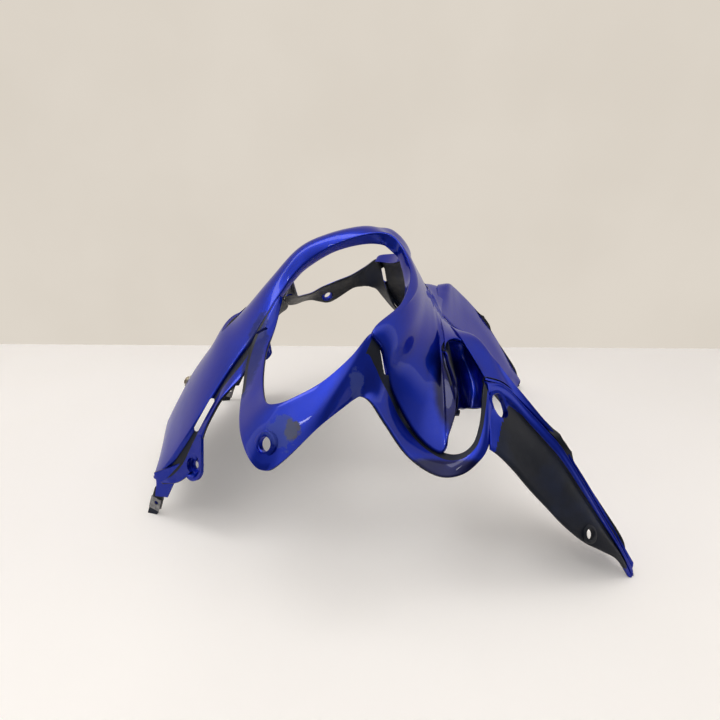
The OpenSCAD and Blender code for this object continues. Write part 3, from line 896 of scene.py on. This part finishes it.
# %% Seats and holes
SCREW_BORE, BRACE_BORE, TIP_BORE = 5.6, 10, 8
OVAL_L, OVAL_W = 19, 11
SEAT_H = 1.2
screw_at = [-202.5, 0, 78]
screw_axis = [-0.855, 0, 0.518]


def on_panel(along, share, lift):
    """Point of the ear's panel: place along it, share of the way up, lift off it."""
    low, up = curve_at(panel_low, [along])[0], curve_at(panel_up, [along])[0]
    return low * (1 - share) + up * share + lift * ear_axis


oval_at = on_panel(0.95, 0.72, 0.6)
tip_at = on_panel(6.25, 0.22, 1.4)


def seat(name, point, axis, bore, width, rise):
    """A raised ring round a bolt hole."""
    r, low = bore / 2, -WALL - 0.5
    profile = [(r, low), (r, rise - 0.5), (r + 0.5, rise), (r + width - 0.9, rise),
               (r + width - 0.2, rise - 0.4), (r + width, rise - 1.2), (r + width, low)]
    return turned(name, profile, aimed(point, axis))


def bore_cutter(point, axis, radius, reach=12):
    """A plain plug that clears a shell round a hole."""
    return turned("bore_cutter", [(0, -reach), (radius, -reach), (radius, reach), (0, reach)],
                  aimed(point, axis))


seats = [
    seat("screw_seat", screw_at, screw_axis, SCREW_BORE, 5.2, SEAT_H),
    seat("brace_seat", brace_at, brace_axis, BRACE_BORE, 4, 1),
    seat("tip_seat", tip_at, ear_axis, TIP_BORE, 3, 0.5)]
left_bare(seats[2])
oval_place = aimed(oval_at, ear_axis)
oval_boss = prism("oval_boss", long_outline(OVAL_L + 4.4, OVAL_W + 4.4), -WALL - 0.5, 1.2,
                  oval_place)
oval_cutter = prism("oval_cutter", long_outline(OVAL_L, OVAL_W), -12, 12, oval_place)
combined(oval_boss, [oval_cutter], "DIFFERENCE")
combined(ear, [oval_cutter, bore_cutter(tip_at, ear_axis, TIP_BORE / 2 + 1)], "DIFFERENCE")
print("ear with its holes:", len(ear.data.polygons), "faces")

# %% [markdown]
# Three long slots let the panels behind hook in: one beside the chin, one small one
# at the top of the leg and one at the cheek. Each is given by its two ends, its
# width and the direction that it looks, and one cutter goes through every shell.

# %% Slots
slots = [
    slot_cutter([-140.1, 116.1, 111.1], [-152.1, 124, 89.1], [0.2, 0.85, 0.45], 4.8, 10),
    slot_cutter([2.2, 155, 171.8], [5.1, 158, 156.2], [0, 0.935, 0.355], 4, 12),
    slot_cutter([-107.8, 73.3, 158], [-103.8, 71.1, 164.1], [-0.5, 0.4, 0.75], 2.8, 8)]
far_slots = [mirrored(s, "far_slot") for s in slots]
combined(chin_strip, [slots[0], slots[2], bore_cutter(lug_at, lug_axis, LUG_BORE / 2 + 3)],
         "DIFFERENCE")
combined(flange, [slots[1], slots[2], bore_cutter(brace_at, brace_axis, BRACE_BORE / 2 + 1.5)],
         "DIFFERENCE")
clip_bore = turned("clip_bore", [(0, -20), (2.5, -20), (2.5, 20), (0, 20)],
                   on_tab @ Matrix.Translation((2 * MM, 0, 0)))
combined(tongue, [clip_bore], "DIFFERENCE")
print("slots:", len(slots), "a side")

# %% [markdown]
# The air intake above the chin is a rounded triangular pocket sunk through the
# skin, with its own floor and walls. A cup is joined to the skin and then hollowed,
# which leaves a wall all round without modelling it.

# %% Air intake
INTAKE_L, INTAKE_W, INTAKE_DEEP = 25, 76, 9
intake_place = aimed([-146, 0, 149], [-0.743, 0, 0.669])
intake_corners = [(3, 5 - INTAKE_W / 2), (3, INTAKE_W / 2 - 5), (6 - INTAKE_L, 0)]
intake_cup = prism("intake_cup", rounded(intake_corners, 4 + WALL), -INTAKE_DEEP - WALL, -1,
                   intake_place)
intake_space = prism("intake_space", rounded(intake_corners, 4), -INTAKE_DEEP, 30, intake_place)
combined(skin, slots + far_slots + [bore_cutter(screw_at, screw_axis, SCREW_BORE / 2 + 2)],
         "DIFFERENCE", "FAST")
combined(skin, [intake_cup], "UNION", "FAST")
combined(skin, [intake_space], "DIFFERENCE", "FAST")
discard([o for o in bpy.data.objects if o.name.startswith(
    ("intake_", "bore_cutter", "slot_cutter", "far_slot", "oval_cutter", "clip_bore"))])
print("skin with its openings:", len(skin.data.polygons), "faces")

# %% [markdown]
# The far half is a mirror image. Then all the shells become one object, because
# the real part is one moulding. They overlap inside the wall, where nobody looks,
# so no boolean is risked on the whole. Anything a hair outside the CAD box, such as
# the tip where it was trimmed flat on the floor, is pulled in to it. Shading is
# smooth up to an angle, above which an edge counts as a real one.

# %% One moulding
SHARP_FROM = math.radians(38)
near_pieces = [flange, chin_strip, duct, ear, foot, tongue, lug, oval_boss] + seats[1:]
far_pieces = [mirrored(o, "far_" + o.name) for o in near_pieces]
whole = bmesh.new()
for piece in [skin, seats[0]] + near_pieces + far_pieces:
    whole.from_mesh(piece.data)
low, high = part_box("cowl")
for vert in whole.verts:
    vert.co = [min(max(c, a), b) for c, a, b in zip(vert.co, low, high)]
bmesh.ops.dissolve_degenerate(whole, dist=1e-6, edges=whole.edges)
cowl_mesh = bpy.data.meshes.new("cowl_moulding")
whole.to_mesh(cowl_mesh)
whole.free()
for finish in (paint, bare):
    cowl_mesh.materials.append(finish)
discard([skin, seats[0]] + near_pieces + far_pieces)
cowl_mesh.shade_smooth()
cowl_mesh.set_sharp_from_angle(angle=SHARP_FROM)
cowl = bpy.data.objects.new("cowl_moulding", cowl_mesh)
bpy.context.scene.collection.objects.link(cowl)
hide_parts("cowl")
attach(cowl, "root")
print("cowl moulding:", len(cowl_mesh.polygons), "faces,",
      sum(len(p.vertices) - 2 for p in cowl_mesh.polygons), "triangles")

# %% [markdown]
# The screw has a low domed head with a cross recess, on a plain shank, and sits on
# a thin washer. Both are turned from a profile, and two crossed bars cut the recess.
# The thread is hidden behind the chin, so it is left out.

# %% Screw and washer
WASHER_T = 1.2
screw_place = aimed(screw_at, screw_axis)
head = screw_place @ Matrix.Translation((0, 0, (SEAT_H + WASHER_T) * MM))
shank_r = SCREW_BORE / 2 - 0.3
screw = turned("screw", [(0, -14), (shank_r - 0.5, -14), (shank_r, -13.3), (shank_r, -0.01),
                         (4.3, 0.01), (4.6, 0.3), (4.55, 0.9), (4.2, 1.7), (3.4, 2.4),
                         (2.2, 2.85), (0, 3)], head, [FINISHES["screw"]])
recess = [prism("recess", [(-a, -b), (a, -b), (a, b), (-a, b)], 1.3, 4, head, screw.data.materials)
          for a, b in ((2.4, 0.5), (0.5, 2.4))]
combined(screw, recess, "DIFFERENCE")
washer = turned("washer", [(SCREW_BORE / 2, SEAT_H), (SCREW_BORE / 2, SEAT_H + WASHER_T),
                           (6.2, SEAT_H + WASHER_T), (6.5, SEAT_H + WASHER_T - 0.3),
                           (6.5, SEAT_H)], screw_place, [FINISHES["washer"]])
discard(recess)
for piece, node, finish in ((screw, "chin_screw", "screw_steel"),
                            (washer, "chin_washer", "washer_steel")):
    piece.data.shade_smooth()
    piece.data.set_sharp_from_angle(angle=math.radians(35))
    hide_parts(node)
    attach(piece, "root")
print("screw and washer:", len(screw.data.polygons), len(washer.data.polygons), "faces")

# %% [markdown]
# The clip nuts keep their CAD shape, folded sheet with a round hole, because at
# this size nothing is gained by a second mesh. They get the finish of grey plated
# steel, set on the object so that the shared mesh stays as it is.

# %% Clips
clips = frame["nodes"]["tab_clips"]
for entry in clips.material_slots:
    entry.link = "OBJECT"
    entry.material = FINISHES["clips"]
print("clips:", len(clips.data.polygons), "faces")

# %% [markdown]
# The stage is a pale table against a pale wall. Both carry a trace of noise so that
# they don't look computed. Three things differ from plain paint. The table has a
# little glow for the camera only, so that it is as bright as in the photograph and
# its shadows stay soft. Its part nearest the camera looks dark in reflections, which
# keeps the near flanks a deep blue. The wall shows its colour evenly to the camera
# and is clear from its back, so that a view from behind still finds the object.

# %% Table and wall
WALL_Y = 0.345
WALL_TURN = math.radians(1.2)
TABLE_FRONT = -0.35
TABLE_FADE = 0.2
TABLE_LIFT = 0.2
STAGE_REACH, WALL_H = 3, 2.2


def pale(name, colour, shade):
    """A pale, plain finish for the stage."""
    mat, tree, shader = new_material(name, {"Roughness": 0.6})
    detail = placed_group(tree, grain, scale=300.0, coarse_scale=4.0)
    tone = span(tree, detail.outputs["Coarse"], 0.3, 0.7)
    tree.links.new(blended(tree, tone, shade, colour), shader.inputs["Base Color"])
    return mat


def panel(name, corners, material):
    """A flat panel of the stage."""
    mesh = bpy.data.meshes.new(name)
    mesh.from_pydata(corners, [], [tuple(range(len(corners)))])
    mesh.materials.append(material)
    obj = bpy.data.objects.new(name, mesh)
    bpy.context.scene.collection.objects.link(obj)
    return obj


table_top = pale("table_top", (0.86, 0.83, 0.8, 1), (0.83, 0.8, 0.77, 1))
tree = table_top.node_tree
path = add(tree, "ShaderNodeLightPath")
place = add(tree, "ShaderNodeTexCoord")
split = add(tree, "ShaderNodeSeparateXYZ", inputs={0: place.outputs["Object"]})
beyond = span(tree, split.outputs["Y"], TABLE_FRONT, TABLE_FRONT - TABLE_FADE)
unlit = add(tree, "ShaderNodeEmission", inputs={"Color": (0.06, 0.06, 0.065, 1)})
lift = add(tree, "ShaderNodeEmission", inputs={
    "Color": (1.0, 0.97, 0.94, 1),
    "Strength": maths(tree, "MULTIPLY", path.outputs["Is Camera Ray"], TABLE_LIFT)})
lifted = add(tree, "ShaderNodeAddShader", inputs={
    0: tree.nodes["Principled BSDF"].outputs[0], 1: lift.outputs[0]})
either = add(tree, "ShaderNodeMixShader", inputs={
    0: maths(tree, "MULTIPLY", beyond, path.outputs["Is Glossy Ray"]),
    1: lifted.outputs[0], 2: unlit.outputs[0]})
tree.links.new(either.outputs[0], tree.nodes["Material Output"].inputs["Surface"])
table = panel("table", [(-STAGE_REACH, -STAGE_REACH, 0), (STAGE_REACH, -STAGE_REACH, 0),
                        (STAGE_REACH, STAGE_REACH, 0), (-STAGE_REACH, STAGE_REACH, 0)],
              table_top)
wall_paint = pale("wall_paint", (0.73, 0.67, 0.59, 1), (0.7, 0.64, 0.56, 1))
tree = wall_paint.node_tree
shader = tree.nodes["Principled BSDF"]
path = add(tree, "ShaderNodeLightPath")
shown = maths(tree, "MAXIMUM", path.outputs["Is Camera Ray"], path.outputs["Is Glossy Ray"])
glow = add(tree, "ShaderNodeEmission", inputs={
    "Color": shader.inputs["Base Color"].links[0].from_socket, "Strength": 1.0})
front_side = add(tree, "ShaderNodeMixShader", inputs={
    0: shown, 1: shader.outputs[0], 2: glow.outputs[0]})
side = add(tree, "ShaderNodeNewGeometry")
clear = add(tree, "ShaderNodeBsdfTransparent")
one_way = add(tree, "ShaderNodeMixShader", inputs={
    0: side.outputs["Backfacing"], 1: front_side.outputs[0], 2: clear.outputs[0]})
tree.links.new(one_way.outputs[0], tree.nodes["Material Output"].inputs["Surface"])
wall = panel("wall", [(-STAGE_REACH, 0, 0), (STAGE_REACH, 0, 0),
                      (STAGE_REACH, 0, WALL_H), (-STAGE_REACH, 0, WALL_H)], wall_paint)
wall.matrix_world = Matrix.Translation((0, WALL_Y, 0)) @ Matrix.Rotation(WALL_TURN, 4, "Z")
print("stage:", table.name, wall.name)

# %% [markdown]
# Glossy lacquer shows the room, so the room matters more than the lights. The world
# is pale above and behind the object and dim low on the camera's side, which gives
# the blue its dark flanks. One large soft light hangs behind on the left for the
# table's soft shadow, and a thin strip in front on the left gives the rims their
# streaks. Where the camera sees past the stage, the world is a plain warm grey.

# %% Light
def soft_light(name, place, target, width, depth, power):
    """A rectangular area light that looks at a point."""
    data = bpy.data.lights.new(name, "AREA")
    data.shape = "RECTANGLE"
    data.size, data.size_y, data.energy = width, depth, power
    obj = bpy.data.objects.new(name, data)
    obj.location = place
    obj.rotation_euler = (Vector(target) - Vector(place)).to_track_quat("-Z", "Y").to_euler()
    bpy.context.scene.collection.objects.link(obj)
    return obj


# name, place, target, width, depth, watts
LIGHTS = [
    ("ceiling", (-0.75, 0.45, 1.7), (0, 0, 0.1), 1.3, 1.3, 17),
    ("strip", (-0.6, -0.9, 1.5), (0, 0, 0.15), 0.5, 0.05, 1.2)]
for light in LIGHTS:
    soft_light(*light)
ROOM_STRENGTH = 1.6
PALE_ROOM = (0.95, 0.93, 0.9, 1)
DIM_ROOM = (0.1, 0.1, 0.11, 1)
BEHIND_ROOM = (0.46, 0.43, 0.4, 1)
world = bpy.data.worlds.new("room")
world.use_nodes = True
tree = world.node_tree
place = add(tree, "ShaderNodeTexCoord")
split = add(tree, "ShaderNodeSeparateXYZ", inputs={0: place.outputs["Generated"]})
front = span(tree, split.outputs["Y"], 0.2, -0.2)
low = span(tree, split.outputs["Z"], 1.0, 0.5)
path = add(tree, "ShaderNodeLightPath")
dim = maths(tree, "MULTIPLY", front, low)
room = blended(tree, dim, PALE_ROOM, DIM_ROOM)
room = blended(tree, path.outputs["Is Camera Ray"], room, BEHIND_ROOM)
tree.links.new(room, tree.nodes["Background"].inputs["Color"])
tree.nodes["Background"].inputs["Strength"].default_value = ROOM_STRENGTH
bpy.context.scene.world = world
bpy.context.scene.view_settings.view_transform = "Standard"
print("lights:", [light[0] for light in LIGHTS], "and the world", world.name)

# %% [markdown]
# The camera stands where the photograph was taken from: half a metre in front, 30 cm
# up, looking down by about 21 degrees. Lines that join matching points of the two
# halves run to one vanishing point in the picture, and this tilt and this turn go
# with it. A guess by eye can't hold both halves in place at once.

# %% Camera
LOOK_DOWN, LOOK_LEFT = 20.75, 2.3
camera_data = bpy.data.cameras.new("camera")
camera_data.lens = 26.5
camera_data.sensor_width = 36
camera = bpy.data.objects.new("camera", camera_data)
camera.location = (0.014, -0.513, 0.300)
camera.rotation_euler = (math.radians(90 - LOOK_DOWN), 0, math.radians(LOOK_LEFT))
bpy.context.scene.collection.objects.link(camera)
bpy.context.scene.camera = camera
print("camera at", tuple(round(v, 3) for v in camera.location))
